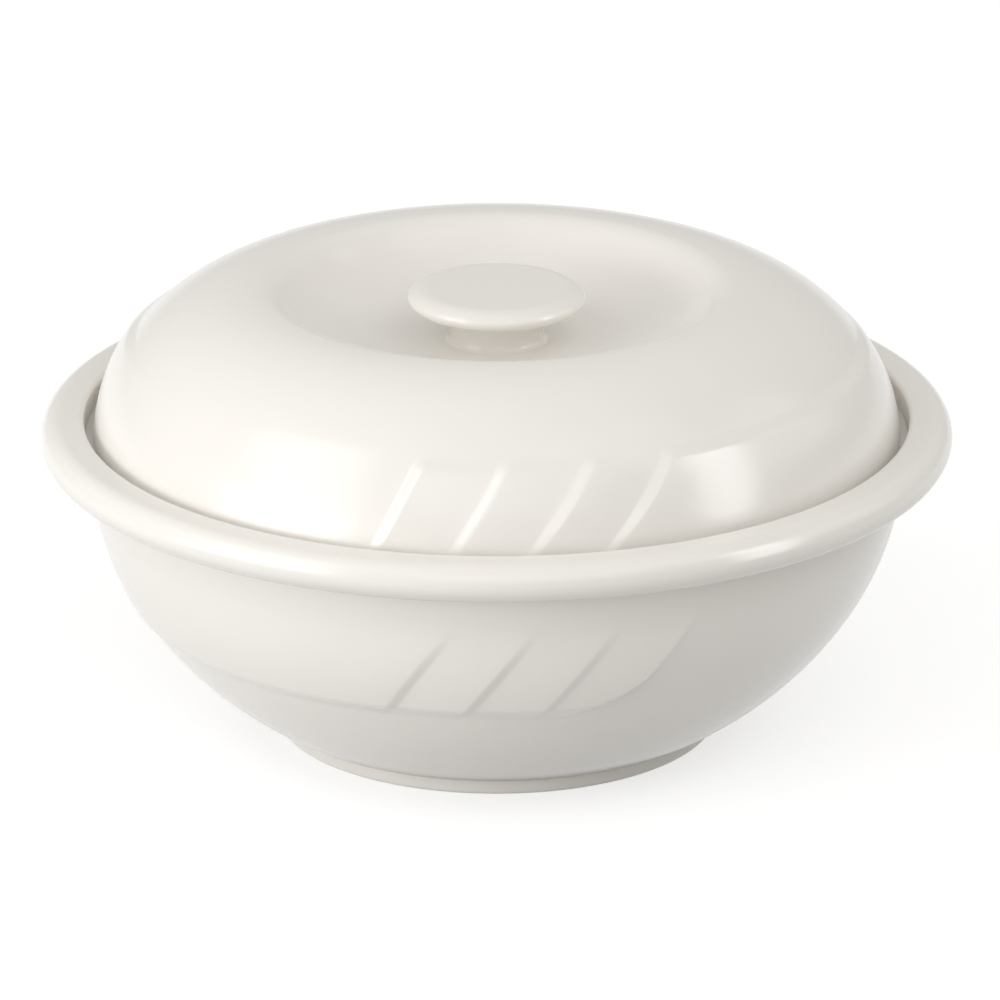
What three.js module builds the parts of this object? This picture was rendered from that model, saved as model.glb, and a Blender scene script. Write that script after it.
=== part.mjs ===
// A round porcelain soup tureen: a footed bowl with a broad flat rim, and a lift-off lid that sits in a recess of
// that rim. The lid swells like a ring round a sunk well, and the knob stands in the well. Overlapping slanted
// pleats are moulded into the wall of the bowl and, turned end for end, into the wall of the lid.
//
// The tureen stands on z = 0 with its axis on z. The front, with one group of pleats, faces -y. Lengths are in
// millimetres, and a name that ends in _DEG is an angle in degrees, counted from the front towards +x.

import * as THREE from "three";
import { mergeVertices } from "three/addons/utils/BufferGeometryUtils.js";

// Bowl: rim and lid recess
const RIM_R = 135;
const RIM_H = 96;
const RIM_W = 12.8;
const RIM_T = 11.6;
const RIM_FILLET_R = 1.5;
const RECESS_D = 7;
const RECESS_EDGE_R = 1.4;
const LEDGE_W = 8.7;
const MOUTH_EDGE_R = 0.8;

// Bowl: wall and foot
const WALL_T = 7;
const WALL_PLUMB = 35.5;
const WALL_FOOT_RUN = 23.7;
const WALL_FOOT_RISE = 12.6;
const FLOOR_DIP = 2.6;
const BASE_T = 6;
const FOOT_R = 65.7;
const FOOT_H = 5.6;
const FOOT_W = 5;
const FOOT_EDGE_R = 1;
const FOOT_SET_IN = 3.4;

// Lid
const LID_GAP = 2.4;
const LID_T = 5;
const LID_EDGE_R = 1.6;
const DOME_R = 50.5;
const DOME_DROP = 4.1;
const WELL_D = 16.4;
const WELL_LIP_R = 10;
const WELL_FOOT_R = 40;

// Knob
const KNOB_R = 26.3;
const KNOB_H = 16;
const KNOB_T = 6.4;
const KNOB_SHOULDER_W = 5.9;
const KNOB_NECK_R = 13.6;
const KNOB_FOOT_R = 15.2;
const KNOB_FOOT_H = 1;

// Pleats
const PLEAT_GROUPS = 2;
const PLEAT_COUNT = 4;
const PLEAT_TWIST_DEG_PER_MM = 0.35;
const PLEAT_H = 1.8;
const PLEAT_LOW_SHARE = 0.12;
const CREASE_W = 2.3;
const LEDGE_STEP_H = 1.6;
const PLAIN_GAP_DEG = 48;
const BOWL_LEDGE_DROP = 54.5;
const BOWL_PLEAT_L = 28;
const BOWL_PLEAT_PITCH_DEG = 11.8;
const BOWL_PLEAT_TURN_DEG = 1.2;
const LID_LEDGE_RISE = 27.6;
const LID_PLEAT_L = 24;
const LID_PLEAT_PITCH_DEG = 10.8;
const LID_PLEAT_TURN_DEG = -1.7;
const LID_PLEAT_FAN = 0.65;

// Facets: how far a flat may lie inside the arc that it stands for, the widest angle between two columns, the rows
// along each stretch of a free curve, and the sides of the knob
const FACET_SAG = 0.12;
const COLUMN_DEG = 7.5;
const ROWS_BELOW_LEDGE = 5;
const ROWS_IN_PLEATS = 5;
const ROWS_ABOVE_PLEATS = 2;
const ROWS_INSIDE = 8;
const ROWS_IN_DIP = 3;
const KNOB_NECK_ROWS = 6;
const KNOB_SHOULDER_ROWS = 8;
const KNOB_SIDES = 40;
const WELD_GAP = 1e-4;
const HALVINGS = 40;

// Places that follow from the dimensions
const SEAT_Z = RIM_H - RECESS_D;
const RIM_UNDER_Z = RIM_H - RIM_T;
const RECESS_R = RIM_R - RIM_W;
const MOUTH_R = RECESS_R - LEDGE_W;
const WALL_R = MOUTH_R + WALL_T;
const LID_R = RECESS_R - LID_GAP;
const CREST_R = LID_R - Math.sqrt(DOME_R ** 2 - DOME_DROP ** 2);
const CREST_Z = DOME_R - DOME_DROP;
const WELL_FLOOR_Z = CREST_Z - WELL_D;

const rad = THREE.MathUtils.degToRad;
const deg = THREE.MathUtils.radToDeg;
const point = (r, z) => new THREE.Vector2(r, z);

// An arc of a half section, from one angle to the other; 0 points away from the axis and 90 points up.
function arc(r, z, radius, fromDeg, toDeg) {
  const facetDeg = deg(2 * Math.acos(1 - FACET_SAG / radius));
  const steps = Math.ceil(Math.abs(toDeg - fromDeg) / facetDeg);
  const curve = new THREE.EllipseCurve(r, z, radius, radius, rad(fromDeg), rad(toDeg), toDeg < fromDeg);
  return curve.getPoints(steps);
}

// The place along a rising curve where it reaches a height.
function placeAtHeight(curve, z) {
  let low = 0;
  let high = 1;
  for (let i = 0; i < HALVINGS; i += 1) {
    const middle = (low + high) / 2;
    if (curve.getPoint(middle).y < z) {
      low = middle;
    } else {
      high = middle;
    }
  }
  return high;
}

// Evenly spaced numbers from one end to the other, without the last one.
function spread(from, to, steps) {
  return Array.from({ length: steps }, (_, i) => from + ((to - from) * i) / steps);
}

// Rows of a half section. lean says how far the slant of the pleats has turned the row, and rise how much of their
// height stands out there, both from 0 to 1.
const plainRows = (points, lean) => points.map(({ x, y }) => ({ r: x, z: y, lean, rise: 0 }));

// How much of its height a pleat has left at a share of the way from its ledge to its far end.
const pleatFade = (share) => 1 - share ** 3;

// The columns of a pleated wall. Going towards +angle, a raised band swells out of the plain wall and ends in
// pleats: each rises to a crease and steps down there to the foot of the next. hand -1 turns the pattern round.
// fan says how much more the creases slant to the right of a group's middle, and less to its left.
function pleatColumns({ pitchDeg, turnDeg, hand, fan, radius }) {
  const halfCrease = deg(CREASE_W / radius) / 2;
  const lastCrease = (pitchDeg * (PLEAT_COUNT - 1)) / 2;
  const groupDeg = 360 / PLEAT_GROUPS;
  const bandStart = lastCrease + PLAIN_GAP_DEG - groupDeg;
  const knots = [[bandStart, 0], [(bandStart - lastCrease) / 2, 1]];
  for (let i = 0; i < PLEAT_COUNT; i += 1) {
    const crease = i * pitchDeg - lastCrease;
    const isLast = i === PLEAT_COUNT - 1;
    knots.push([crease - halfCrease, 1], [crease + halfCrease, isLast ? 0 : PLEAT_LOW_SHARE]);
  }
  knots.push([bandStart + groupDeg, 0]);

  const group = knots.slice(1).flatMap(([angle, height], i) => {
    const [fromAngle, fromHeight] = knots[i];
    const steps = Math.ceil((angle - fromAngle) / COLUMN_DEG);
    const heights = spread(fromHeight, height, steps);
    return spread(fromAngle, angle, steps).map((a, j) => ({ angle: a, height: heights[j] }));
  });
  const columns = [];
  for (let i = 0; i < PLEAT_GROUPS; i += 1) {
    columns.push(...group.map(({ angle, height }) => ({ angle: hand * (angle + i * groupDeg), height })));
  }
  columns.sort((a, b) => a.angle - b.angle);
  return columns.map(({ angle, height }) => {
    const slant = 1 + fan * Math.sin(rad(PLEAT_GROUPS * angle));
    return { angle: rad(angle + turnDeg), height, slant };
  });
}

// A turned solid whose wall carries pleats: a lathe form with its columns moved to the creases and leant with them.
function pleatedTurning(rows, columns, twistDeg) {
  const profile = rows.map(({ r, z }) => point(r, z));
  const geometry = new THREE.LatheGeometry(profile, columns.length);
  const position = geometry.getAttribute("position");
  for (let i = 0; i <= columns.length; i += 1) {
    const column = columns[i % columns.length];
    rows.forEach((row, j) => {
      const angle = column.angle + rad(twistDeg) * column.slant * row.lean;
      const radius = row.r + PLEAT_H * row.rise * column.height;
      const vertex = i * rows.length + j;
      position.setXYZ(vertex, radius * Math.sin(angle), -radius * Math.cos(angle), row.z);
    });
  }
  return welded(geometry);
}

// One closed skin, without the seam and the doubled points on the axis that a lathe form has.
function welded(geometry) {
  geometry.deleteAttribute("normal");
  geometry.deleteAttribute("uv");
  const skin = mergeVertices(geometry, WELD_GAP);
  skin.computeVertexNormals();
  return skin;
}

// The outer curve of the bowl's wall, from the foot to the fillet under the rim.
const wallCurve = new THREE.CubicBezierCurve(
  point(FOOT_R + FOOT_SET_IN, FOOT_H),
  point(FOOT_R + FOOT_SET_IN + WALL_FOOT_RUN, FOOT_H + WALL_FOOT_RISE),
  point(WALL_R, RIM_UNDER_Z - RIM_FILLET_R - WALL_PLUMB),
  point(WALL_R, RIM_UNDER_Z - RIM_FILLET_R),
);

// A point inside the wall, one wall thickness square from its outer curve.
function innerWallPoint(place) {
  const tangent = wallCurve.getTangent(place);
  return wallCurve.getPoint(place).add(point(-tangent.y, tangent.x).multiplyScalar(WALL_T));
}

// The pleated wall of the bowl, from the foot upwards: plain, the ledge that faces down, then the fading pleats.
function bowlWallRows() {
  const ledgeZ = RIM_H - BOWL_LEDGE_DROP;
  const ledgeFoot = placeAtHeight(wallCurve, ledgeZ - LEDGE_STEP_H / 2);
  const ledgeTop = placeAtHeight(wallCurve, ledgeZ + LEDGE_STEP_H / 2);
  const pleatEnd = placeAtHeight(wallCurve, ledgeZ + BOWL_PLEAT_L);
  const below = plainRows(spread(0, ledgeFoot, ROWS_BELOW_LEDGE).map((place) => wallCurve.getPoint(place)), 0);
  const above = plainRows(spread(pleatEnd, 1, ROWS_ABOVE_PLEATS).map((place) => wallCurve.getPoint(place)), 1);
  const pleats = spread(ledgeTop, pleatEnd, ROWS_IN_PLEATS).map((place) => {
    const { x, y } = wallCurve.getPoint(place);
    const share = (y - ledgeZ) / BOWL_PLEAT_L;
    return { r: x, z: y, lean: share, rise: pleatFade(share) };
  });
  return [...below, ...plainRows([wallCurve.getPoint(ledgeFoot)], 0), ...pleats, ...above];
}

// The bowl's half section, from the middle of the underside out, up round the rim and down the inside.
function bowlGeometry() {
  const innerFoot = innerWallPoint(0);
  const innerTangent = wallCurve.getTangent(0);
  const floorZ = innerFoot.y - FLOOR_DIP;
  const dipRun = (FLOOR_DIP * innerTangent.x) / innerTangent.y;
  const baseZ = floorZ - BASE_T;
  const rimEdgeR = RIM_T / 2;
  const footInnerR = FOOT_R - FOOT_W;

  const foot = [
    point(0, baseZ),
    point(footInnerR - baseZ, baseZ),
    point(footInnerR, 0),
    ...arc(FOOT_R - FOOT_EDGE_R, FOOT_EDGE_R, FOOT_EDGE_R, -90, 0),
    point(FOOT_R, FOOT_H),
  ];
  const rim = [
    ...arc(WALL_R + RIM_FILLET_R, RIM_UNDER_Z - RIM_FILLET_R, RIM_FILLET_R, 180, 90),
    ...arc(RIM_R - rimEdgeR, RIM_H - rimEdgeR, rimEdgeR, -90, 90),
    ...arc(RECESS_R + RECESS_EDGE_R, RIM_H - RECESS_EDGE_R, RECESS_EDGE_R, 90, 180),
    point(RECESS_R, SEAT_Z),
    ...arc(MOUTH_R + MOUTH_EDGE_R, SEAT_Z - MOUTH_EDGE_R, MOUTH_EDGE_R, 90, 180),
  ];
  const inside = spread(1, 0, ROWS_INSIDE).map((place) => innerWallPoint(place));
  const dip = new THREE.QuadraticBezierCurve(
    innerFoot,
    point(innerFoot.x - dipRun, floorZ),
    point(innerFoot.x - 2 * dipRun, floorZ),
  );
  const floor = [...dip.getPoints(ROWS_IN_DIP), point(0, floorZ)];
  const rows = [...plainRows(foot, 0), ...bowlWallRows(), ...plainRows([...rim, ...inside, ...floor], 1)];
  const columns = pleatColumns({
    pitchDeg: BOWL_PLEAT_PITCH_DEG, turnDeg: BOWL_PLEAT_TURN_DEG, hand: 1, fan: 0, radius: WALL_R,
  });
  return pleatedTurning(rows, columns, BOWL_PLEAT_L * PLEAT_TWIST_DEG_PER_MM);
}

// Radius of the dome at a height above the lid's seat.
const domeRadius = (z) => CREST_R + Math.sqrt(DOME_R ** 2 - (z + DOME_DROP) ** 2);

// The pleated wall of the lid, from the seat upwards: pleats that grow to the ledge that faces up, then plain.
function lidWallRows() {
  const pleatFootZ = LID_LEDGE_RISE - LID_PLEAT_L;
  const ledgeFootZ = LID_LEDGE_RISE - LEDGE_STEP_H / 2;
  const pleatHeights = [...spread(pleatFootZ, ledgeFootZ, ROWS_IN_PLEATS), ledgeFootZ];
  const pleats = pleatHeights.map((z) => {
    const share = (LID_LEDGE_RISE - z) / LID_PLEAT_L;
    return { r: domeRadius(z), z, lean: 1 - share, rise: pleatFade(share) };
  });
  const ledgeTopDeg = deg(Math.asin((LID_LEDGE_RISE + LEDGE_STEP_H / 2 + DOME_DROP) / DOME_R));
  return [...pleats, ...plainRows(arc(CREST_R, -DOME_DROP, DOME_R, ledgeTopDeg, 90), 1)];
}

// The lid's half section above its seat, from the middle of its underside out, up over the crest and into the well.
function lidGeometry() {
  const slopeDeg = deg(Math.acos(1 - WELL_D / (WELL_LIP_R + WELL_FOOT_R)));
  const wellFloorR = CREST_R - (WELL_LIP_R + WELL_FOOT_R) * Math.sin(rad(slopeDeg));
  const lipZ = CREST_Z - WELL_LIP_R;
  const wellFootZ = WELL_FLOOR_Z + WELL_FOOT_R;
  const innerSeatDeg = deg(Math.asin(DOME_DROP / (DOME_R - LID_T)));
  const inside = [
    point(0, WELL_FLOOR_Z - LID_T),
    ...arc(wellFloorR, wellFootZ, WELL_FOOT_R + LID_T, -90, slopeDeg - 90),
    ...arc(CREST_R, lipZ, WELL_LIP_R - LID_T, 90 + slopeDeg, 90),
    ...arc(CREST_R, -DOME_DROP, DOME_R - LID_T, 90, innerSeatDeg).slice(1),
  ];
  const seat = arc(domeRadius(LID_EDGE_R) - LID_EDGE_R, LID_EDGE_R, LID_EDGE_R, -90, 0);
  const well = [
    ...arc(CREST_R, lipZ, WELL_LIP_R, 90, 90 + slopeDeg).slice(1),
    ...arc(wellFloorR, wellFootZ, WELL_FOOT_R, slopeDeg - 90, -90).slice(1),
    point(0, WELL_FLOOR_Z),
  ];
  const rows = [...plainRows([...inside, ...seat], 0), ...lidWallRows(), ...plainRows(well, 1)];
  const columns = pleatColumns({
    pitchDeg: LID_PLEAT_PITCH_DEG, turnDeg: LID_PLEAT_TURN_DEG, hand: -1, fan: LID_PLEAT_FAN, radius: LID_R,
  });
  return pleatedTurning(rows, columns, LID_PLEAT_L * PLEAT_TWIST_DEG_PER_MM);
}

// The knob: a low disc with a soft shoulder on a waisted neck.
function knobGeometry() {
  const discUnderZ = KNOB_H - KNOB_T;
  const shoulderH = KNOB_T / 2;
  const shoulder = new THREE.EllipseCurve(
    KNOB_R - KNOB_SHOULDER_W, KNOB_H - shoulderH, KNOB_SHOULDER_W, shoulderH, -Math.PI / 2, Math.PI / 2,
  );
  const neckH = discUnderZ - KNOB_FOOT_H;
  const neck = new THREE.CubicBezierCurve(
    point(KNOB_FOOT_R, KNOB_FOOT_H),
    point(KNOB_NECK_R - (KNOB_FOOT_R - KNOB_NECK_R) / 2, KNOB_FOOT_H + neckH / 4),
    point(KNOB_NECK_R, discUnderZ - neckH / 4),
    point(KNOB_R - KNOB_SHOULDER_W, discUnderZ),
  );
  const profile = [
    point(0, 0),
    point(KNOB_FOOT_R, 0),
    ...neck.getPoints(KNOB_NECK_ROWS),
    ...shoulder.getPoints(KNOB_SHOULDER_ROWS).slice(1),
    point(0, KNOB_H),
  ];
  return welded(new THREE.LatheGeometry(profile, KNOB_SIDES).rotateX(Math.PI / 2));
}

// Every piece is the same ivory glazed porcelain.
function piece(name, geometry) {
  const glaze = new THREE.MeshStandardMaterial({ color: 0xefebe0, roughness: 0.1, metalness: 0 });
  const mesh = new THREE.Mesh(geometry, glaze);
  mesh.name = name;
  return mesh;
}

const knob = piece("knob", knobGeometry());
knob.position.z = WELL_FLOOR_Z;

const cover = new THREE.Group();
cover.add(piece("lid", lidGeometry()), knob);
cover.position.z = SEAT_Z;

const tureen = new THREE.Group();
tureen.add(piece("bowl", bowlGeometry()), cover);

export default tureen;
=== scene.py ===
"""The looks of a round porcelain soup tureen with a lift-off lid, built on the frame of its solids.

The file is laid out as an add-on: sizes and colours are scene properties, every piece has an operator, and
main() runs the operators in order. Lengths are in metres and angles in degrees, with z up, the axis of the
tureen on z and its front facing -y. Angles round the axis count from the front towards +x.
"""
import math
from collections import namedtuple

import bpy
import numpy as np
from bpy.props import FloatProperty, FloatVectorProperty, IntProperty, PointerProperty
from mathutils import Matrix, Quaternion, Vector


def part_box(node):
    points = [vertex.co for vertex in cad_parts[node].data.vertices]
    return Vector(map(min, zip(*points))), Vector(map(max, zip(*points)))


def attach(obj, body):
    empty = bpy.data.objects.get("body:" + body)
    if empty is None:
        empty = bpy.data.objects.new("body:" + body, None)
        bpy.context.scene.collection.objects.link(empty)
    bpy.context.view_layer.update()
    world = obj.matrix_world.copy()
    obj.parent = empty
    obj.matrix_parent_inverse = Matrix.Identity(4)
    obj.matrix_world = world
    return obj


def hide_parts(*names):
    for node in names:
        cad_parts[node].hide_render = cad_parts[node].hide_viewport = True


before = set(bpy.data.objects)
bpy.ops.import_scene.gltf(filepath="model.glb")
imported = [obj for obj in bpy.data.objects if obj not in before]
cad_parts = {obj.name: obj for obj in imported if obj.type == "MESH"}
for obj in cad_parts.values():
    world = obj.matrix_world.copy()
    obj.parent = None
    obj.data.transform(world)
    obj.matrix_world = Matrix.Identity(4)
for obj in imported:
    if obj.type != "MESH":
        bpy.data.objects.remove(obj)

bl_info = {
    "name": "Soup Tureen",
    "version": (1, 0, 0),
    "blender": (4, 5, 0),
    "location": "3D View > Sidebar > Tureen",
    "description": "Builds a pleated porcelain soup tureen with a lift-off lid, its glaze and a small studio",
    "category": "Add Mesh",
}

GLAZE_SLOT = "ivory_glaze"
BOWL_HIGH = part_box("bowl")[1]
LID_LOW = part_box("lid")[0]
KNOB_LOW, KNOB_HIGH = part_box("knob")

# Fineness of the meshes: degrees between points of an arc, metres between points of a line, and degrees
# between columns. HOLD is the distance from an end of a straight stretch to its extra point there.
ARC_STEP = 6
CREST_ARC_STEP = 3
DOME_ARC_STEP = 4
WELL_ARC_STEP = 5
FILLET_ARC_STEP = 9
LIP_ARC_STEP = 10
EDGE_ARC_STEP = 15
WALL_STEP = 0.0025
FINE_STEP = 0.0005
FLAT_STEP = 0.008
STANDING_STEP = 0.001
HOLD = 0.0006
PLAIN_COLUMN = 2.5
PLEAT_COLUMN = 1.5
FINE_COLUMN = 0.14

# Counts of points along the curves, of the knob's columns and of the floor's sides
OUTER_WALL_POINTS = 400
INNER_WALL_POINTS = 48
FOOT_CORNER_POINTS = 5
FOOT_STEP_POINTS = 6
DIP_POINTS = 8
NECK_POINTS = 28
SHOULDER_POINTS = 33
KNOB_COLUMNS = 128
FLOOR_SIDES = 96

# The lid's swelling is built as a pleated wall up to TOP_ANGLE on its round section, and its inside stops
# INSIDE_STOP degrees above the seat. FOOT_SLANT is the share of the foot ring's edge radius at which a corner
# runs into the slanted inside of the ring. NECK_LOW and NECK_HIGH are heights on the knob's neck, as shares.
TOP_ANGLE = 60
INSIDE_STOP = 2
FOOT_SLANT = 0.7
NECK_LOW = 0.25
NECK_HIGH = 0.78

# Guards against rounding and against a division by nothing
ROUNDING = 1e-9
TINY = 1e-12


def length(name, description, default):
    """A size that a user would change."""
    return FloatProperty(
        name=name, description=description, default=default, precision=4, unit="LENGTH", subtype="DISTANCE"
    )


def share(name, description, default):
    """A number from 0 to 1."""
    return FloatProperty(
        name=name, description=description, default=default, min=0, max=1, precision=3, subtype="FACTOR"
    )


def number(name, description, default):
    """A plain number, such as an angle in degrees or a lamp's strength."""
    return FloatProperty(name=name, description=description, default=default, precision=3)


def colour(name, description, default):
    """A linear colour."""
    return FloatVectorProperty(
        name=name, description=description, default=default, size=3, min=0, max=1, subtype="COLOR"
    )


class TureenBowl(bpy.types.PropertyGroup):
    """Sizes of the bowl's half section."""

    rim_radius: length("Rim radius", "Outer edge of the rim", round(max(BOWL_HIGH.x, BOWL_HIGH.y), 3))
    rim_height: length("Rim height", "Top of the rim above the table", round(BOWL_HIGH.z, 4))
    rim_width: length("Rim width", "From the outer edge to the recess for the lid", 0.0128)
    rim_thickness: length("Rim thickness", "Height of the rim's rounded edge", 0.0116)
    rim_fillet: length("Rim fillet", "Radius between the wall and the underside of the rim", 0.0015)
    seat_height: length("Seat height", "Ledge that the lid stands on", round(LID_LOW.z, 4))
    recess_edge: length("Recess edge", "Radius where the rim turns down into the recess", 0.0014)
    recess_corner: length("Recess corner", "Radius where glaze fills the corner of the recess", 0.0009)
    ledge_width: length("Ledge width", "Width of the ledge that the lid stands on", 0.0087)
    mouth_edge: length("Mouth edge", "Radius of the ledge's inner edge", 0.0008)
    wall: length("Wall", "Thickness of the wall", 0.007)
    wall_plumb: length("Wall plumb", "How far the wall's curve is drawn down from the rim", 0.0355)
    wall_foot_run: length("Foot run", "How far the wall's curve is drawn out from the foot", 0.0237)
    wall_foot_rise: length("Foot rise", "How far the wall's curve is drawn up from the foot", 0.0126)
    floor_dip: length("Floor dip", "Depth of the dished floor", 0.0026)
    base: length("Base", "Thickness of the floor", 0.006)
    foot_radius: length("Foot radius", "Outer edge of the foot ring", 0.0657)
    foot_height: length("Foot height", "Height of the foot ring", 0.0056)
    foot_width: length("Foot width", "Width of the foot ring", 0.005)
    foot_edge: length("Foot edge", "Radius of the foot ring's edges", 0.001)
    foot_set_in: length("Foot set in", "Step from the foot ring out to the wall", 0.0034)


class TureenLid(bpy.types.PropertyGroup):
    """Sizes of the lid's half section."""

    gap: length("Gap", "Between the lid and the wall of the recess", 0.0024)
    wall: length("Wall", "Thickness of the lid", 0.005)
    edge: length("Edge", "Radius of the lid's lower edge", 0.0016)
    dome_radius: length("Dome radius", "Radius of the swelling ring's section", 0.0505)
    dome_drop: length("Dome drop", "Centre of that section below the lid's seat", 0.0041)
    well_height: length("Well height", "Floor of the well above the table", round(KNOB_LOW.z, 4))
    well_lip: length("Well lip", "Radius where the crest turns down into the well", 0.01)
    well_foot: length("Well foot", "Radius where the well runs out into its floor", 0.04)


class TureenKnob(bpy.types.PropertyGroup):
    """Sizes of the knob's half section."""

    radius: length("Radius", "Outer edge of the disc", round(KNOB_HIGH.x, 4))
    height: length("Height", "From the floor of the well to the top", round(KNOB_HIGH.z - KNOB_LOW.z, 4))
    thickness: length("Thickness", "Thickness of the disc", 0.0064)
    shoulder: length("Shoulder", "Width of the disc's rounded edge", 0.0059)
    neck_radius: length("Neck radius", "Narrowest part of the neck", 0.0136)
    foot_radius: length("Foot radius", "Foot of the neck", 0.0152)
    foot_fillet: length("Foot fillet", "Glaze in the corner between the neck and the well", 0.0016)
    foot_sink: length("Foot sink", "How far the foot is sunk in the glaze of the well", 0.0004)


class TureenPleats(bpy.types.PropertyGroup):
    """The slanted overlapping pleats in the walls of the bowl and the lid."""

    groups: IntProperty(name="Groups", description="Groups of pleats round the tureen", default=2, min=1)
    count: IntProperty(name="Count", description="Pleats in a group", default=4, min=1)
    slant: number("Slant", "Degrees that a crease turns in a metre of height", 350)
    crease: length("Crease", "Width of the step at a crease", 0.0042)
    fade: number("Fade", "How late a pleat runs out along its length; 1 is evenly", 3.5)
    band_fade: number("Band fade", "The same for the band that a group starts from and stands on", 1.4)
    plain_gap: number("Plain gap", "Degrees of plain wall between two groups", 48)
    bowl_height: length("Bowl height", "How far a pleat stands out of the bowl", 0.003)
    bowl_low_share: share("Bowl low share", "Share of its height that a pleat has at its lower side", 0.66)
    bowl_band_rise: share("Bowl band rise", "Share of the plain band's length in which it rises", 1.0)
    bowl_ledge_step: length("Bowl ledge step", "Height of the ledge where the bowl's pleats end", 0.0052)
    bowl_ledge_drop: length("Bowl ledge drop", "Ledge below the top of the rim", 0.0545)
    bowl_length: length("Bowl length", "Height of the pleats on the bowl", 0.0292)
    bowl_pitch: number("Bowl pitch", "Degrees from one crease of the bowl to the next", 11.8)
    bowl_turn: number("Bowl turn", "Degrees that the bowl's pleats are turned", 1.2)
    bowl_sweep: length("Bowl sweep", "Radius of the broad sweep that ends the bowl's ledge", 0.016)
    lid_height: length("Lid height", "How far a pleat stands out of the lid", 0.0018)
    lid_low_share: share("Lid low share", "Share of its height that a pleat has at its lower side", 0.12)
    lid_band_rise: share("Lid band rise", "Share of the plain band's length in which it rises", 0.5)
    lid_ledge_step: length("Lid ledge step", "Height of the ledge where the lid's pleats end", 0.0026)
    lid_ledge_rise: length("Lid ledge rise", "Ledge above the lid's seat", 0.029)
    lid_length: length("Lid length", "Height of the pleats on the lid", 0.0254)
    lid_pitch: number("Lid pitch", "Degrees from one crease of the lid to the next", 10.8)
    lid_turn: number("Lid turn", "Degrees that the lid's pleats are turned", -1.3)
    lid_fan: share("Lid fan", "How much more the lid's creases slant right of a group's middle", 0.65)


class TureenGlaze(bpy.types.PropertyGroup):
    """Colours and finish of the glazed porcelain."""

    ivory: colour("Ivory", "Glaze at its usual thickness", (0.855, 0.824, 0.782))
    cool: colour("Cool", "Glaze where the firing left it paler", (0.87, 0.845, 0.812))
    # The pooled colour is partly thick glaze and partly painted shade in creases and corners.
    pooled_glaze_and_shade: colour("Pooled", "Thick glaze in creases and corners", (0.77, 0.73, 0.65))
    thin: colour("Thin", "Thin glaze over edges", (0.9, 0.878, 0.845))
    bare: colour("Bare", "Unglazed clay of the standing edges", (0.74, 0.69, 0.61))
    speck: colour("Speck", "Fired-in specks", (0.5, 0.43, 0.34))
    roughness: share("Roughness", "Roughness of fresh glaze", 0.03)
    wear: share("Wear", "Roughness that use adds", 0.04)
    bare_roughness: share("Bare roughness", "Roughness of unglazed clay", 0.78)


class TureenStage(bpy.types.PropertyGroup):
    """The floor, lamps and camera of the small studio."""

    floor: colour("Floor", "Colour of the floor", (0.54, 0.54, 0.54))
    floor_glow: share("Floor glow", "White that the camera sees on the floor besides the lamps' light", 0.61)
    ambient: number("Ambient", "Light from all round", 0.58)
    ambient_tint: colour("Ambient tint", "Colour of the light from all round", (1.0, 0.992, 0.97))
    key: number("Key", "Watts of the large soft box on the left", 4.2)
    low: number("Low", "Watts of the long soft box on the floor on the left", 6.2)
    front: number("Front", "Watts of the soft box over the camera", 3.8)
    right: number("Right", "Watts of the soft box high on the right", 1.7)
    side: number("Side", "Watts of the soft box on the right", 2.1)
    left_pane: number("Left pane", "Watts of the pane that the glaze mirrors on the left", 2.5)
    right_pane: number("Right pane", "Watts of the pane that the glaze mirrors on the right", 2.6)
    camera_distance: length("Camera distance", "From the aim point to the camera", 3)
    camera_rise: number("Camera rise", "Degrees above the horizontal", 20)
    view_width: length("View width", "Width of the picture at the aim point", 0.2972)
    aim_x: length("Aim across", "Aim point beside the axis", 0.001)
    aim_z: length("Aim height", "Aim point above the table", 0.0681)


# A row of a half section. lean is how far the slant has turned it, from 0 to 1. above is its place past the
# ledge, into the pleats, and OFF_PLEATS where the wall is plain. bare is 1 where the clay is left unglazed.
Row = namedtuple("Row", "r z lean above bare")
OFF_PLEATS = -1.0


def plain_rows(points, lean=1.0, bare=0.0):
    """Rows without pleats."""
    return [Row(r, z, lean, OFF_PLEATS, bare) for r, z in points]


def arc(r, z, radius, start, end, step=ARC_STEP):
    """Points of an arc round (r, z); 0 degrees points away from the axis and 90 points up."""
    count = max(2, math.ceil(abs(end - start) / step))
    angles = np.radians(np.linspace(start, end, count + 1))
    return [(r + radius * math.cos(a), z + radius * math.sin(a)) for a in angles]


def bezier(points, count):
    """Points of a Bezier curve with any number of control points."""
    degree = len(points) - 1
    places = np.linspace(0, 1, count + 1)[:, None]
    total = sum(
        math.comb(degree, i) * (1 - places) ** (degree - i) * places**i * np.array(p)
        for i, p in enumerate(points)
    )
    return [tuple(p) for p in total]


def line(start, end, step=FLAT_STEP):
    """Points of a straight stretch, with one close to each end so that shading stays flat between them."""
    span = math.dist(start, end)
    count = max(1, math.ceil(span / step))
    places = sorted({*np.linspace(0, 1, count + 1), HOLD / span, 1 - HOLD / span})
    return [tuple(np.array(start) + (np.array(end) - np.array(start)) * t) for t in places]


def spaced(start, end, step):
    """Evenly spaced numbers without the last one."""
    count = max(1, math.ceil(abs(end - start) / step - ROUNDING))
    return list(np.linspace(start, end, count, endpoint=False))


def soft(place):
    """A smooth step from 0 to 1."""
    t = np.clip(place, 0, 1)
    return t * t * (3 - 2 * t)


def wall_samples(start, end, ledge, step, sweep):
    """Heights along a pleated wall, close together round the ledge and the sweep that ends it."""
    low = ledge - step
    high = ledge + sweep + step
    return [*spaced(start, low, WALL_STEP), *spaced(low, high, FINE_STEP), *spaced(high, end, WALL_STEP)]


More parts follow.
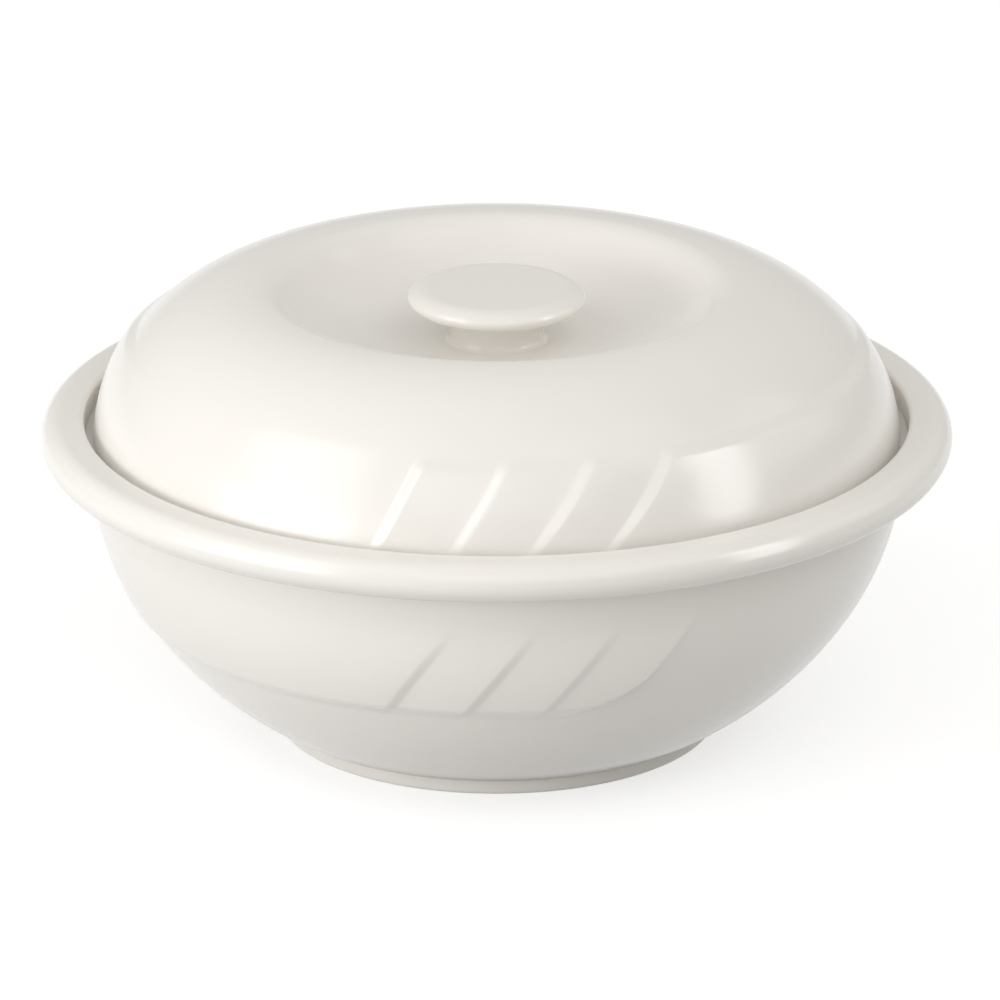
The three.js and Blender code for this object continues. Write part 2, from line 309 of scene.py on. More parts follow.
class PleatColumns:
    """Columns of a pleated wall all round the tureen: their angles and how far the relief stands out there.

    Going towards +angle, a raised band swells out of the plain wall and ends in pleats: each rises to a
    crease and steps down there to the foot of the next. The relief is the band that a group stands on and the
    pleats' own swell on it, fade is how late that swell runs out along the wall, and lift is how far the ledge
    has run up its sweep into the last crease. hand -1 turns the pattern round. fan says how much more the
    creases slant to the right of a group's middle, and less to its left.
    """

    def __init__(
        self, pleats, radius, pitch, turn, hand, height, low_share, band_rise, ledge_step, fan=0.0, sweep=0.0
    ):
        self.pleats = pleats
        self.ledge_step = ledge_step
        self.pitch = pitch
        self.half = math.degrees(pleats.crease / radius) / 2
        self.sweep = sweep
        self.sweep_span = math.degrees(sweep / radius)
        last = pitch * (pleats.count - 1) / 2
        group = 360 / pleats.groups
        self.start = last + pleats.plain_gap - group
        self.peak = self.start - band_rise * (self.start + last)
        self.creases = [i * pitch - last for i in range(pleats.count)]
        self.low_shares = [low_share] * (pleats.count - 1) + [0.0]
        one = [
            (
                a,
                height * self.share_at(a),
                height * low_share * self.band_at(a),
                self.lift_at(a),
                self.fade_at(a),
            )
            for a in self.sample_angles(self.start + group)
        ]
        every = [(hand * (a + i * group), *rest) for i in range(pleats.groups) for a, *rest in one]
        angles, whole, self.band, self.lift, self.fade = np.array(sorted(every)).T
        self.swell = whole - self.band
        self.fan = 1 + fan * np.sin(np.radians(pleats.groups * angles))
        self.angle = angles + turn

    def sample_angles(self, end):
        """Angles of one group, close together at the creases."""
        angles = []
        place = self.start
        step = PLAIN_COLUMN
        for crease in self.creases:
            edge = crease - self.half
            foot = crease + self.half
            lead = self.sweep_span if crease == self.creases[-1] else 0.0
            near = crease - max(lead, self.half + PLEAT_COLUMN)
            angles += spaced(place, near, step)
            angles += spaced(near, edge, 2 * FINE_COLUMN)
            angles += spaced(edge, foot, FINE_COLUMN)
            place = foot
            step = PLEAT_COLUMN
        return angles + spaced(place, end, PLAIN_COLUMN)

    def rise_at(self, angle):
        """Share of its height to which the plain band has risen."""
        return soft((angle - self.start) / (self.peak - self.start))

    def share_at(self, angle):
        """Share of the pleats' height at an angle."""
        before = self.rise_at(angle) if angle < self.creases[0] else 1.0
        for i, crease in enumerate(self.creases):
            if angle <= crease - self.half:
                return before
            low = self.low_shares[i]
            if angle <= crease + self.half:
                return 1 - (1 - low) * soft((angle - crease + self.half) / (2 * self.half))
            if i + 1 < len(self.creases):
                span = self.creases[i + 1] - crease - 2 * self.half
                before = low + (1 - low) * min(1, (angle - crease - self.half) / span)
        return 0.0

    def band_at(self, angle):
        """Share of the band that the pleats of a group stand on."""
        if angle < self.creases[0]:
            return self.rise_at(angle)
        return 1 - soft((angle - self.creases[-1] + self.half) / (2 * self.half))

    def lift_at(self, angle):
        """How far the ledge has run up the sweep that leads into the last crease."""
        if not self.sweep:
            return 0.0
        inside = min(1.0, max(0.0, (angle - self.creases[-1]) / self.sweep_span + 1))
        return self.sweep * (1 - math.sqrt(1 - inside**2))

    def fade_at(self, angle):
        """How late the pleats' swell runs out along its length."""
        inside = soft((angle - self.creases[0]) / self.pitch + 1)
        return self.pleats.band_fade + (self.pleats.fade - self.pleats.band_fade) * inside


class PlainColumns:
    """Columns of a turned piece without relief, so that any ledge step serves."""

    def __init__(self, count):
        self.angle = np.linspace(0, 360, count, endpoint=False)
        self.fan = np.ones(count)
        self.ledge_step = 1.0
        self.band = np.zeros(count)
        self.swell = np.zeros(count)
        self.lift = np.zeros(count)
        self.fade = np.ones(count)


def turned_grid(rows, columns, pleats, pleat_length):
    """Points of a turned piece, by column and row, with the pleats standing out of its wall."""
    r, z, lean, above, _ = np.array(rows).T
    ledge = soft((above[None, :] - columns.lift[:, None]) / columns.ledge_step + 0.5)
    along = np.clip(above / pleat_length, 0, 1)[None, :]
    band = columns.band[:, None] * (1 - along**pleats.band_fade)
    swell = columns.swell[:, None] * (1 - along ** columns.fade[:, None])
    radius = r[None, :] + (band + swell) * ledge
    slant = pleats.slant * pleat_length * columns.fan
    angle = np.radians(columns.angle[:, None] + slant[:, None] * lean[None, :])
    x = radius * np.sin(angle)
    y = -radius * np.cos(angle)
    return np.stack([x, y, np.broadcast_to(z, radius.shape)], axis=-1)


def bend(before, here, after, normal):
    """Curvature along a line of points, in 1/m; positive where the surface is hollow."""
    back = here - before
    ahead = after - here
    back_length = np.linalg.norm(back, axis=-1, keepdims=True) + ROUNDING
    ahead_length = np.linalg.norm(ahead, axis=-1, keepdims=True) + ROUNDING
    turn = 2 * (ahead / ahead_length - back / back_length) / (ahead_length + back_length)
    return (turn * normal).sum(-1)


# Bend, in 1/m, at which glaze is pooled, with painted shade, or thinned in full, and how often the border of
# that is softened
POOL_AND_SHADE_BEND = 500
POOL_AND_SHADE_BLUR = 3


def glaze_depth_and_shade(grid):
    """Where glaze pools and shade is painted into creases and corners, towards 1, and where it runs thin,
    towards -1, from the bends of the surface.
    """
    across = np.roll(grid, -1, 0) - np.roll(grid, 1, 0)
    along = np.gradient(grid, axis=1)
    normal = np.cross(across, along)
    normal /= np.linalg.norm(normal, axis=-1, keepdims=True) + TINY
    hollow = bend(np.roll(grid, 1, 0), grid, np.roll(grid, -1, 0), normal)
    hollow[:, 1:-1] += bend(grid[:, :-2], grid[:, 1:-1], grid[:, 2:], normal[:, 1:-1])
    hollow[:, [0, -1]] = 0
    depth_and_shade = np.clip(hollow / POOL_AND_SHADE_BEND, -1, 1)
    for _ in range(POOL_AND_SHADE_BLUR):
        depth_and_shade = (depth_and_shade * 2 + np.roll(depth_and_shade, 1, 0) + np.roll(depth_and_shade, -1, 0)) / 4
        depth_and_shade[:, 1:-1] = (depth_and_shade[:, 1:-1] * 2 + depth_and_shade[:, :-2] + depth_and_shade[:, 2:]) / 4
    return depth_and_shade


def turned_piece(name, rows, columns, pleats, pleat_length):
    """A closed mesh from a half section that starts and ends on the axis."""
    grid = turned_grid(rows, columns, pleats, pleat_length)
    column_count, row_count = grid.shape[:2]
    ring = (row_count - 2) * np.arange(column_count)
    bottom = (row_count - 2) * column_count
    top = bottom + 1
    points = np.concatenate([grid[:, 1:-1].reshape(-1, 3), grid[:1, 0], grid[:1, -1]])
    after = np.roll(ring, -1)
    faces = []
    for a, b in zip(ring.tolist(), after.tolist()):
        faces.append((bottom, b, a))
        faces += [(a + j, b + j, b + j + 1, a + j + 1) for j in range(row_count - 3)]
        faces.append((a + row_count - 3, b + row_count - 3, top))
    mesh = bpy.data.meshes.new(name)
    mesh.from_pydata(points.tolist(), [], faces)
    mesh.shade_smooth()
    # Glaze depth from the bends; its hollow end also carries painted shade in creases and corners.
    depth_and_shade = glaze_depth_and_shade(grid)
    bare = np.broadcast_to(np.array([row.bare for row in rows]), depth_and_shade.shape)
    for attribute, values in (("glaze_depth_and_shade", depth_and_shade), ("bare_clay", bare)):
        layer = mesh.attributes.new(attribute, "FLOAT", "POINT")
        flat = np.concatenate([values[:, 1:-1].ravel(), values[:1, 0], values[:1, -1]])
        layer.data.foreach_set("value", flat.astype(np.float32))
    mesh.validate()
    piece = bpy.data.objects.new(name, mesh)
    bpy.context.scene.collection.objects.link(piece)
    return piece


class Field:
    """A shader output that Python operators join to numbers and to other outputs by Math nodes."""

    def __init__(self, graph, output):
        self.graph = graph
        self.output = output

    def math(self, operation, *values):
        """The result of a Math node."""
        return self.graph.node("ShaderNodeMath", {"operation": operation}, dict(enumerate(values)))

    def __add__(self, other):
        return self.math("ADD", self, other)

    __radd__ = __add__

    def __sub__(self, other):
        return self.math("SUBTRACT", self, other)

    def __rsub__(self, other):
        return self.math("SUBTRACT", other, self)

    def __mul__(self, other):
        return self.math("MULTIPLY", self, other)

    __rmul__ = __mul__

    def __neg__(self):
        return self * -1

    def clamped(self):
        """The value held between 0 and 1."""
        return self.graph.node("ShaderNodeClamp", {}, {"Value": self}, "Result")


NOISE_ROUGHNESS = 0.55


class Graph:
    """The node tree of a material or of the world."""

    def __init__(self, owner):
        owner.use_nodes = True
        self.tree = owner.node_tree
        self.tree.nodes.clear()

    def node(self, kind, settings=None, inputs=None, output=0):
        """Adds a node: its settings first, then the values or links of its sockets. Returns one output."""
        made = self.tree.nodes.new(kind)
        for key, value in (settings or {}).items():
            setattr(made, key, value)
        for key, value in (inputs or {}).items():
            socket = made.inputs[key]
            if isinstance(value, Field):
                self.tree.links.new(value.output, socket)
            elif socket.type == "RGBA":
                socket.default_value = (*value, 1)
            else:
                socket.default_value = value
        return Field(self, made.outputs[output]) if made.outputs else None

    def mix(self, factor, first, second):
        """A blend of two colours."""
        settings = {"data_type": "RGBA"}
        return self.node("ShaderNodeMix", settings, {"Factor": factor, 6: first, 7: second}, 2)

    def noise(self, place, scale, detail):
        """Soft cloudy noise from 0 to 1."""
        inputs = {"Vector": place, "Scale": scale, "Detail": detail, "Roughness": NOISE_ROUGHNESS}
        return self.node("ShaderNodeTexNoise", {}, inputs, "Fac")


def stretched(value, low, high):
    """A field's stretch from low to high spread over 0 to 1."""
    settings = {"interpolation_type": "SMOOTHSTEP"}
    inputs = {"Value": value, "From Min": low, "From Max": high}
    return value.graph.node("ShaderNodeMapRange", settings, inputs, "Result")


# Patterns of the glaze: noise scales in 1/m, and the stretch of a noise in which its pattern sets in
TONE_SCALE = 14
TONE_STRETCH = (0.35, 0.7)
MOTTLE_SCALE = 90
WEAR_SCALE = 45
WEAR_STRETCH = (0.45, 0.75)
SPECK_SCALE = 210
SPECK_SIZE = 0.055
SPECK_STRETCH = (0.66, 0.7)
CLAY_SCALE = 900
RIPPLE_SCALE = 55
PEEL_SCALE = 420

# Strength of the colours laid over the glaze's own, the pooled one also painting shade into hollows, and what
# the mottle and the clay's grain add to it
POOL_AND_SHADE_STRENGTH = 0.6
POOL_AND_SHADE_MOTTLE = 0.6
THIN_STRENGTH = 0.8
SPECK_STRENGTH = 0.45
CLAY_STRENGTH = 0.75
CLAY_GRAIN = 0.4

# Height of the ripple in metres, the other relief as shares of it, and the refraction of the glaze
RIPPLE_HEIGHT = 0.00006
PEEL_SHARE = 0.03
CLAY_SHARE = 0.5
GLAZE_IOR = 1.6


def glaze_material(look):
    """Ivory glaze over porcelain. It pools in creases, with painted shade darkening creases and corners, thins
    over edges and leaves standing edges bare.
    """
    material = bpy.data.materials.new(GLAZE_SLOT)
    graph = Graph(material)
    place = graph.node("ShaderNodeTexCoord", output="Object")
    depth_and_shade = graph.node("ShaderNodeAttribute", {"attribute_name": "glaze_depth_and_shade"}, output="Fac")
    bare = graph.node("ShaderNodeAttribute", {"attribute_name": "bare_clay"}, output="Fac")
    tone = stretched(graph.noise(place, TONE_SCALE, detail=4), *TONE_STRETCH)
    mottle = graph.noise(place, MOTTLE_SCALE, detail=3)
    wear = stretched(graph.noise(place, WEAR_SCALE, detail=5), *WEAR_STRETCH)
    cell = graph.node("ShaderNodeTexVoronoi", {}, {"Vector": place, "Scale": SPECK_SCALE}, "Distance")
    rare = stretched(graph.noise(place, SPECK_SCALE / 3, detail=1), *SPECK_STRETCH)
    speck = rare * (1 - stretched(cell, SPECK_SIZE, 3 * SPECK_SIZE))

    shade = graph.mix(tone, look.ivory[:], look.cool[:])
    # Darker pooled colour in creases and corners: partly thick glaze, partly painted shade.
    pooled_glaze_and_shade = depth_and_shade * (POOL_AND_SHADE_STRENGTH + mottle * POOL_AND_SHADE_MOTTLE)
    shade = graph.mix(pooled_glaze_and_shade.clamped(), shade, look.pooled_glaze_and_shade[:])
    shade = graph.mix((-depth_and_shade * THIN_STRENGTH).clamped(), shade, look.thin[:])
    shade = graph.mix(speck * SPECK_STRENGTH, shade, look.speck[:])
    clay_grain = graph.noise(place, CLAY_SCALE, detail=4)
    clay = bare * (CLAY_STRENGTH + clay_grain * CLAY_GRAIN)
    shade = graph.mix(clay.clamped(), shade, look.bare[:])

    glazed = look.roughness + wear * look.wear
    roughness = glazed * (1 - bare) + bare * look.bare_roughness
    ripple = graph.noise(place, RIPPLE_SCALE, detail=2)
    peel = graph.noise(place, PEEL_SCALE, detail=2)
    relief = ripple + peel * PEEL_SHARE + bare * clay_grain * CLAY_SHARE
    bump = {"Height": relief, "Distance": RIPPLE_HEIGHT, "Strength": 1.0}
    normal = graph.node("ShaderNodeBump", {}, bump, "Normal")
    shader = {"Base Color": shade, "Roughness": roughness, "Normal": normal, "IOR": GLAZE_IOR}
    surface = graph.node("ShaderNodeBsdfPrincipled", {}, shader)
    graph.node("ShaderNodeOutputMaterial", {}, {"Surface": surface})
    return material


def shared_glaze(look):
    """The material of the glaze's slot: the frame's own where it brings one, or else the glaze made here."""
    # Known fault: the frame brings a plain one under the slot's name, so the glaze made here isn't reached
    return bpy.data.materials.get(GLAZE_SLOT) or glaze_material(look)


def dress(piece, scene, body, node):
    """Glazes a finished piece, sets it on its body and lets it stand for its solid."""
    piece.data.materials.append(shared_glaze(scene.tureen_glaze))
    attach(piece, body)
    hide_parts(node)


def bowl_wall_curve(bowl):
    """Outer curve of the bowl's wall from the foot to the fillet under the rim, as control points."""
    foot = (bowl.foot_radius + bowl.foot_set_in, bowl.foot_height)
    top = (wall_radius(bowl), bowl.rim_height - bowl.rim_thickness - bowl.rim_fillet)
    return [
        foot,
        (foot[0] + bowl.wall_foot_run, foot[1] + bowl.wall_foot_rise),
        (top[0], top[1] - bowl.wall_plumb),
        top,
    ]


def recess_radius(bowl):
    """Radius of the recess that the lid sits in."""
    return bowl.rim_radius - bowl.rim_width


def wall_radius(bowl):
    """Outer radius of the bowl's wall under the rim."""
    return recess_radius(bowl) - bowl.ledge_width + bowl.wall


def inner_wall(bowl, count):
    """Inside of the wall, one wall thickness square from its outer curve, from the foot up."""
    outer = np.array(bezier(bowl_wall_curve(bowl), count))
    along = np.gradient(outer, axis=0)
    along /= np.linalg.norm(along, axis=1, keepdims=True)
    return outer + bowl.wall * np.stack([-along[:, 1], along[:, 0]], axis=1)


def foot_section(bowl, base_z):
    """The underside down to the foot ring, the ring's standing edge and its outside, as lists of points."""
    edge = bowl.foot_edge
    slant = FOOT_SLANT * edge
    outer = bowl.foot_radius
    inner = outer - bowl.foot_width
    base_r = inner - base_z
    base_corner = [(base_r - edge, base_z), (base_r, base_z), (base_r + slant, base_z - slant)]
    inner_corner = [(inner - slant, slant), (inner, 0), (inner + edge, 0)]
    step = [(outer, bowl.foot_height - edge), (outer, bowl.foot_height), bowl_wall_curve(bowl)[0]]
    under = [
        *line((0, base_z), base_corner[0]),
        *bezier(base_corner, FOOT_CORNER_POINTS)[1:],
        *line(base_corner[-1], inner_corner[0])[1:],
        *bezier(inner_corner, FOOT_CORNER_POINTS)[1:],
    ]
    standing = line(inner_corner[-1], (outer - edge, 0), STANDING_STEP)[1:-1]
    ring = [
        *arc(outer - edge, edge, edge, -90, 0, EDGE_ARC_STEP),
        *line((outer, edge), step[0])[1:],
        *bezier(step, FOOT_STEP_POINTS)[1:-1],
    ]
    return under, standing, ring


def bowl_wall_rows(bowl, pleats):
    """The pleated outside of the bowl's wall."""
    outer_r, outer_z = np.array(bezier(bowl_wall_curve(bowl), OUTER_WALL_POINTS)).T
    ledge_z = bowl.rim_height - pleats.bowl_ledge_drop
    rows = []
    for z in wall_samples(outer_z[0], outer_z[-1], ledge_z, pleats.bowl_ledge_step, pleats.bowl_sweep):
        above = z - ledge_z
        lean = np.clip(above / pleats.bowl_length, 0, 1)
        rows.append(Row(np.interp(z, outer_z, outer_r), z, lean, above, 0.0))
    return rows


def rim_section(bowl):
    """Points of the rim, from the fillet under it over its rounded edge and the lid's ledge to the mouth."""
    fillet = bowl.rim_fillet
    half = bowl.rim_thickness / 2
    lip = bowl.recess_edge
    corner = bowl.recess_corner
    mouth_edge = bowl.mouth_edge
    top = bowl.rim_height
    under = top - bowl.rim_thickness
    seat = bowl.seat_height
    fillet_r = wall_radius(bowl) + fillet
    outer = bowl.rim_radius - half
    recess = recess_radius(bowl)
    mouth = recess - bowl.ledge_width
    return [
        *arc(fillet_r, under - fillet, fillet, 180, 90, FILLET_ARC_STEP),
        *line((fillet_r, under), (outer, under))[1:-1],
        *arc(outer, top - half, half, -90, 90),
        *line((outer, top), (recess + lip, top))[1:-1],
        *arc(recess + lip, top - lip, lip, 90, 180, LIP_ARC_STEP),
        *arc(recess - corner, seat + corner, corner, 0, -90, EDGE_ARC_STEP),
        *line((recess - corner, seat), (mouth + mouth_edge, seat))[1:-1],
        *arc(mouth + mouth_edge, seat - mouth_edge, mouth_edge, 90, 180, EDGE_ARC_STEP),
    ]


def bowl_rows(bowl, pleats):
    """The bowl's half section, from the middle of the underside out, up round the rim and down the inside."""
    inside = inner_wall(bowl, INNER_WALL_POINTS)
    inside_r, inside_z = inside[0]
    run, rise = inside[1] - inside[0]
    dip_run = bowl.floor_dip * run / rise
    floor_z = inside_z - bowl.floor_dip
    flat_r = inside_r - 2 * dip_run
    dip = bezier([(inside_r, inside_z), (inside_r - dip_run, floor_z), (flat_r, floor_z)], DIP_POINTS)
    floor = line((flat_r, floor_z), (0, floor_z))[1:]
    under, standing, ring = foot_section(bowl, floor_z - bowl.base)
    return [
        *plain_rows(under, 0.0),
        *plain_rows(standing, 0.0, 1.0),
        *plain_rows(ring, 0.0),
        *bowl_wall_rows(bowl, pleats),
        *plain_rows([*rim_section(bowl), *inside[:0:-1], *dip, *floor]),
    ]


def lid_radius(lid, bowl):
    """Outer radius of the lid at its seat."""
    return recess_radius(bowl) - lid.gap


def lid_rows(lid, bowl, pleats):
    """The lid's half section, from the middle of its underside out, up over the crest and into the well."""
    seat = bowl.seat_height
    centre_z = seat - lid.dome_drop
    crest = lid_radius(lid, bowl) - math.sqrt(lid.dome_radius**2 - lid.dome_drop**2)
    crest_z = centre_z + lid.dome_radius
    well_depth = crest_z - lid.well_height
    slope = math.degrees(math.acos(1 - well_depth / (lid.well_lip + lid.well_foot)))
    well_floor = crest - (lid.well_lip + lid.well_foot) * math.sin(math.radians(slope))
    lip_z = crest_z - lid.well_lip
    foot_z = lid.well_height + lid.well_foot
    under_z = lid.well_height - lid.wall
    inner_radius = lid.dome_radius - lid.wall
    seat_angle = math.degrees(math.asin(lid.dome_drop / inner_radius))
    inside = [
        *line((0, under_z), (well_floor, under_z)),
        *arc(well_floor, foot_z, lid.well_foot + lid.wall, -90, slope - 90, WELL_ARC_STEP)[1:],
        *arc(crest, lip_z, lid.well_lip - lid.wall, 90 + slope, 90, WELL_ARC_STEP)[1:],
        *arc(crest, centre_z, inner_radius, 90, seat_angle + INSIDE_STOP, DOME_ARC_STEP)[1:],
    ]
    inner_edge = crest + math.sqrt(inner_radius**2 - lid.dome_drop**2)
    edge_r = crest + math.sqrt(lid.dome_radius**2 - (lid.edge + lid.dome_drop) ** 2) - lid.edge
    standing = [
        (inner_edge + HOLD / 2, seat),
        *line((inner_edge + HOLD, seat), (edge_r, seat), STANDING_STEP),
    ]
    edge = arc(edge_r, seat + lid.edge, lid.edge, -90, 0, EDGE_ARC_STEP)[1:-1]

    ledge_z = seat + pleats.lid_ledge_rise
    top_z = centre_z + lid.dome_radius * math.sin(math.radians(TOP_ANGLE))
    wall = []
    for z in wall_samples(seat + lid.edge, top_z, ledge_z, pleats.lid_ledge_step, 0):
        above = ledge_z - z
        lean = np.clip(1 - above / pleats.lid_length, 0, 1)
        radius = crest + math.sqrt(lid.dome_radius**2 - (z - centre_z) ** 2)
        wall.append(Row(radius, z, lean, above, 0.0))
    top = [
        *arc(crest, centre_z, lid.dome_radius, TOP_ANGLE, 90, CREST_ARC_STEP),
        *arc(crest, lip_z, lid.well_lip, 90, 90 + slope, DOME_ARC_STEP)[1:],
        *arc(well_floor, foot_z, lid.well_foot, slope - 90, -90, WELL_ARC_STEP)[1:],
        *line((well_floor, lid.well_height), (0, lid.well_height))[1:],
    ]
    return [
        *plain_rows(inside, 0.0),
        *plain_rows(standing, 0.0, 1.0),
        *plain_rows(edge, 0.0),
        *wall,
        *plain_rows(top),
    ]


def knob_rows(knob, well_height):
    """The knob's half section: a low disc with a soft shoulder on a waisted neck."""
    under_z = knob.height - knob.thickness
    half = knob.thickness / 2
    shoulder_r = knob.radius - knob.shoulder
    fillet = knob.foot_fillet
    sink = knob.foot_sink
    neck = bezier(
        [
            (knob.foot_radius + fillet, -sink),
            (knob.foot_radius - fillet, -sink),
            (2 * knob.neck_radius - knob.foot_radius, NECK_LOW * under_z),
            (knob.neck_radius, NECK_HIGH * under_z),
            (shoulder_r - fillet, under_z),
            (shoulder_r, under_z),
        ],
        NECK_POINTS,
    )
    turn = np.radians(np.linspace(-90, 90, SHOULDER_POINTS))
    shoulder = [
        (shoulder_r + knob.shoulder * math.cos(a), knob.height - half + half * math.sin(a)) for a in turn
    ]
    points = [
        *line((0, -sink), (knob.foot_radius + fillet, -sink)),
        *neck[1:],
        *shoulder[1:],
        *line((shoulder_r, knob.height), (0, knob.height))[1:],
    ]
    return plain_rows([(r, z + well_height) for r, z in points])


class TUREEN_OT_add_bowl(bpy.types.Operator):
    """Builds the footed bowl with its recessed rim and pleated wall"""

    bl_idname = "tureen.add_bowl"
    bl_label = "Add Bowl"

    def execute(self, context):
        scene = context.scene
        bowl = scene.tureen_bowl
        pleats = scene.tureen_pleats
        columns = PleatColumns(
            pleats,
            radius=wall_radius(bowl),
            pitch=pleats.bowl_pitch,
            turn=pleats.bowl_turn,
            hand=1,
            height=pleats.bowl_height,
            low_share=pleats.bowl_low_share,
            band_rise=pleats.bowl_band_rise,
            ledge_step=pleats.bowl_ledge_step,
            sweep=pleats.bowl_sweep,
        )
        piece = turned_piece("glazed_bowl", bowl_rows(bowl, pleats), columns, pleats, pleats.bowl_length)
        dress(piece, scene, "bowl", "bowl")
        return {"FINISHED"}


class TUREEN_OT_add_lid(bpy.types.Operator):
    """Builds the ring-domed lid with its well and pleated wall"""

    bl_idname = "tureen.add_lid"
    bl_label = "Add Lid"

    def execute(self, context):
        scene = context.scene
        lid = scene.tureen_lid
        pleats = scene.tureen_pleats
        columns = PleatColumns(
            pleats,
            radius=lid_radius(lid, scene.tureen_bowl),
            pitch=pleats.lid_pitch,
            turn=pleats.lid_turn,
            hand=-1,
            height=pleats.lid_height,
            low_share=pleats.lid_low_share,
            band_rise=pleats.lid_band_rise,
            ledge_step=pleats.lid_ledge_step,
            fan=pleats.lid_fan,
        )
        rows = lid_rows(lid, scene.tureen_bowl, pleats)
        piece = turned_piece("glazed_lid", rows, columns, pleats, pleats.lid_length)
        dress(piece, scene, "cover", "lid")
        return {"FINISHED"}


class TUREEN_OT_add_knob(bpy.types.Operator):
    """Builds the disc knob on its waisted neck"""

    bl_idname = "tureen.add_knob"
    bl_label = "Add Knob"

    def execute(self, context):
        scene = context.scene
        pleats = scene.tureen_pleats
        rows = knob_rows(scene.tureen_knob, scene.tureen_lid.well_height)
        piece = turned_piece("glazed_knob", rows, PlainColumns(KNOB_COLUMNS), pleats, pleats.lid_length)
        dress(piece, scene, "cover", "knob")
        return {"FINISHED"}


def towards(azimuth, elevation):
    """Unit vector away from the tureen; azimuth counts from the front towards +x."""
    a = math.radians(azimuth)
    e = math.radians(elevation)
    return Vector((math.sin(a) * math.cos(e), -math.cos(a) * math.cos(e), math.sin(e)))


# Soft boxes: azimuth, elevation, distance, width, height and the degrees that the box leans sideways
KEY_PLACE = (-60, 31, 1.3, 1.08, 1.32, 0)
LOW_PLACE = (-60, 6, 1.4, 1.0, 0.5, 0)
FRONT_PLACE = (10, 35, 1.6, 1.4, 1.0, 0)
RIGHT_PLACE = (60, 55, 1.5, 1.0, 1.0, 0)
SIDE_PLACE = (100, 30, 1.5, 0.9, 0.9, 0)
LEFT_PANE_PLACE = (-58.8, 28.4, 0.85, 0.447, 0.765, 22)
RIGHT_PANE_PLACE = (68.1, 20, 0.85, 0.228, 0.72, -12.5)
FLOOR_RADIUS = 20
LAMP_AIM_Z = 0.1


def add_soft_box(name, place, watts):
    """A rectangular lamp that faces the tureen."""
    azimuth, elevation, distance, width, height, lean = place
    lamp = bpy.data.lights.new(name, "AREA")
    lamp.shape = "RECTANGLE"
    lamp.size = width
    lamp.size_y = height
    lamp.energy = watts
    holder = bpy.data.objects.new(name, lamp)
    holder.visible_camera = False
    away = towards(azimuth, elevation)
    holder.location = Vector((0, 0, LAMP_AIM_Z)) + distance * away
    holder.rotation_mode = "QUATERNION"
    facing = (-away).to_track_quat("-Z", "Y")
    holder.rotation_quaternion = facing @ Quaternion((0, 0, 1), math.radians(lean))
    bpy.context.scene.collection.objects.link(holder)
    return holder


def seen_rays(graph):
    """1 on rays from the camera, straight or by way of gloss or glass."""
    camera = graph.node("ShaderNodeLightPath", output="Is Camera Ray")
    glossy = graph.node("ShaderNodeLightPath", output="Is Glossy Ray")
    through = graph.node("ShaderNodeLightPath", output="Is Transmission Ray")
    return (camera + glossy + through).clamped()


def floor_material(stage):
    """Pale floor that the camera sees as white, with the tureen's shadow kept."""
    material = bpy.data.materials.new("pale_floor")
    graph = Graph(material)
    lit = graph.node("ShaderNodeBsdfDiffuse", {}, {"Color": stage.floor[:]})
    white = graph.mix(seen_rays(graph), (0, 0, 0), (1, 1, 1))
    glow = graph.node("ShaderNodeEmission", {}, {"Color": white, "Strength": stage.floor_glow})
    surface = graph.node("ShaderNodeAddShader", {}, {0: lit, 1: glow})
    graph.node("ShaderNodeOutputMaterial", {}, {"Surface": surface})
    return material


def add_floor(stage):
    """A round floor under the tureen."""
    angles = np.linspace(0, 2 * math.pi, FLOOR_SIDES, endpoint=False)
    points = [(FLOOR_RADIUS * math.cos(a), FLOOR_RADIUS * math.sin(a), 0) for a in angles]
    mesh = bpy.data.meshes.new("floor")
    mesh.from_pydata(points, [], [tuple(range(FLOOR_SIDES))])
    mesh.materials.append(floor_material(stage))
    floor = bpy.data.objects.new("floor", mesh)
    bpy.context.scene.collection.objects.link(floor)


def set_world(stage):
    """Even light from all round."""
    world = bpy.data.worlds.new("studio")
    bpy.context.scene.world = world
    graph = Graph(world)
    light = {"Color": stage.ambient_tint[:], "Strength": stage.ambient}
    background = graph.node("ShaderNodeBackground", {}, light)
    graph.node("ShaderNodeOutputWorld", {}, {"Surface": background})


def add_camera(stage):
    """A long lens at the photograph's angle."""
    camera = bpy.data.cameras.new("camera")
    camera.lens = camera.sensor_width * stage.camera_distance / stage.view_width
    holder = bpy.data.objects.new("camera", camera)
    away = towards(0, stage.camera_rise)
    holder.location = Vector((stage.aim_x, 0, stage.aim_z)) + stage.camera_distance * away
    holder.rotation_mode = "QUATERNION"
    holder.rotation_quaternion = (-away).to_track_quat("-Z", "Y")
    bpy.context.scene.collection.objects.link(holder)
    bpy.context.scene.camera = holder


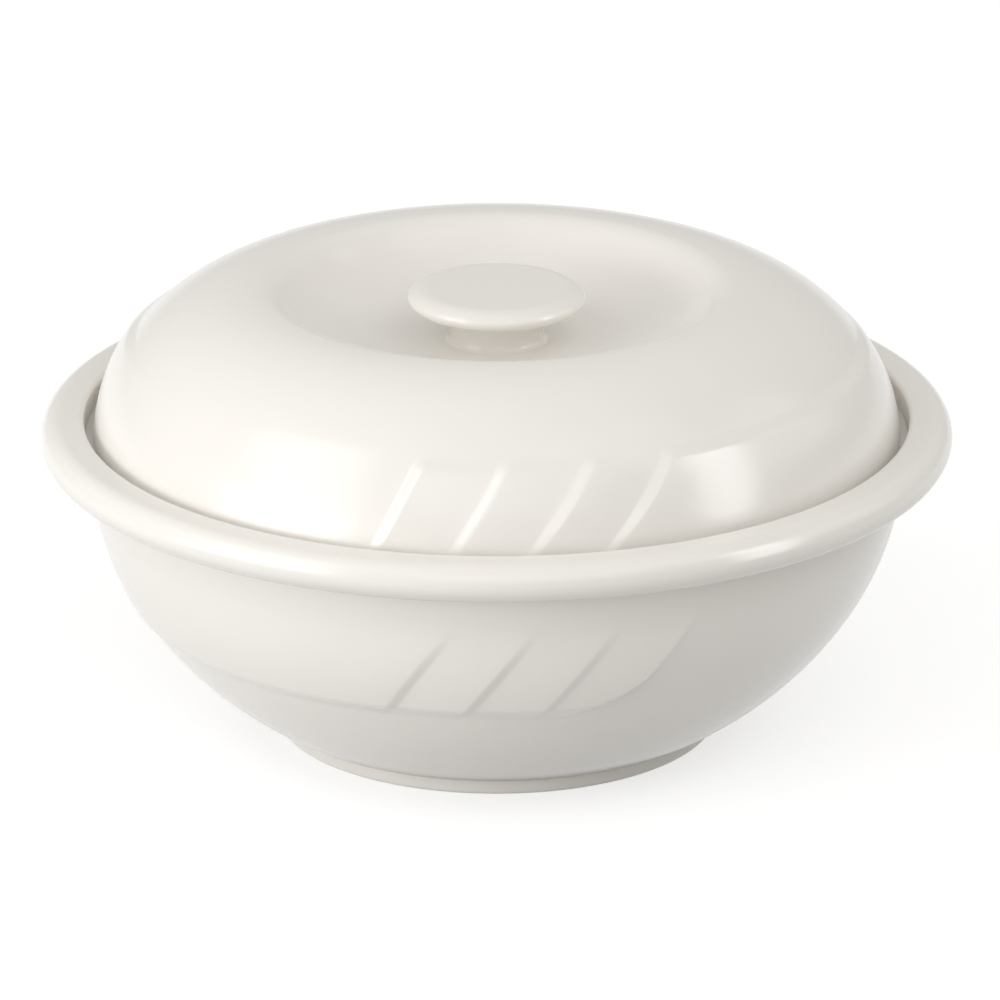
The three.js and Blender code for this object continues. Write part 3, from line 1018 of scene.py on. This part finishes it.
class TUREEN_OT_add_stage(bpy.types.Operator):
    """Sets up the floor, the soft boxes, the even light and the camera"""

    bl_idname = "tureen.add_stage"
    bl_label = "Add Stage"

    def execute(self, context):
        stage = context.scene.tureen_stage
        add_floor(stage)
        add_soft_box("key_soft_box", KEY_PLACE, stage.key).visible_glossy = False
        add_soft_box("low_soft_box", LOW_PLACE, stage.low)
        add_soft_box("front_soft_box", FRONT_PLACE, stage.front)
        add_soft_box("right_soft_box", RIGHT_PLACE, stage.right)
        add_soft_box("side_soft_box", SIDE_PLACE, stage.side)
        add_soft_box("left_pane", LEFT_PANE_PLACE, stage.left_pane).visible_diffuse = False
        add_soft_box("right_pane", RIGHT_PANE_PLACE, stage.right_pane).visible_diffuse = False
        set_world(stage)
        add_camera(stage)
        context.scene.view_settings.view_transform = "Standard"
        return {"FINISHED"}


class TUREEN_PT_panel(bpy.types.Panel):
    """Lists the tureen's pieces in the sidebar"""

    bl_label = "Soup Tureen"
    bl_idname = "TUREEN_PT_panel"
    bl_space_type = "VIEW_3D"
    bl_region_type = "UI"
    bl_category = "Tureen"

    def draw(self, context):
        for operator in OPERATORS:
            self.layout.operator(operator.bl_idname)


OPERATORS = (TUREEN_OT_add_bowl, TUREEN_OT_add_lid, TUREEN_OT_add_knob, TUREEN_OT_add_stage)
SETTINGS = {
    "tureen_bowl": TureenBowl,
    "tureen_lid": TureenLid,
    "tureen_knob": TureenKnob,
    "tureen_pleats": TureenPleats,
    "tureen_glaze": TureenGlaze,
    "tureen_stage": TureenStage,
}


def register():
    for cls in (*SETTINGS.values(), *OPERATORS, TUREEN_PT_panel):
        bpy.utils.register_class(cls)
    for name, cls in SETTINGS.items():
        setattr(bpy.types.Scene, name, PointerProperty(type=cls))


def unregister():
    for name in SETTINGS:
        delattr(bpy.types.Scene, name)
    for cls in (TUREEN_PT_panel, *reversed(OPERATORS), *reversed(SETTINGS.values())):
        bpy.utils.unregister_class(cls)


def main():
    """Builds the tureen and its stage."""
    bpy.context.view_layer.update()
    register()
    bpy.ops.tureen.add_bowl()
    bpy.ops.tureen.add_lid()
    bpy.ops.tureen.add_knob()
    bpy.ops.tureen.add_stage()


if __name__ == "__main__":
    main()
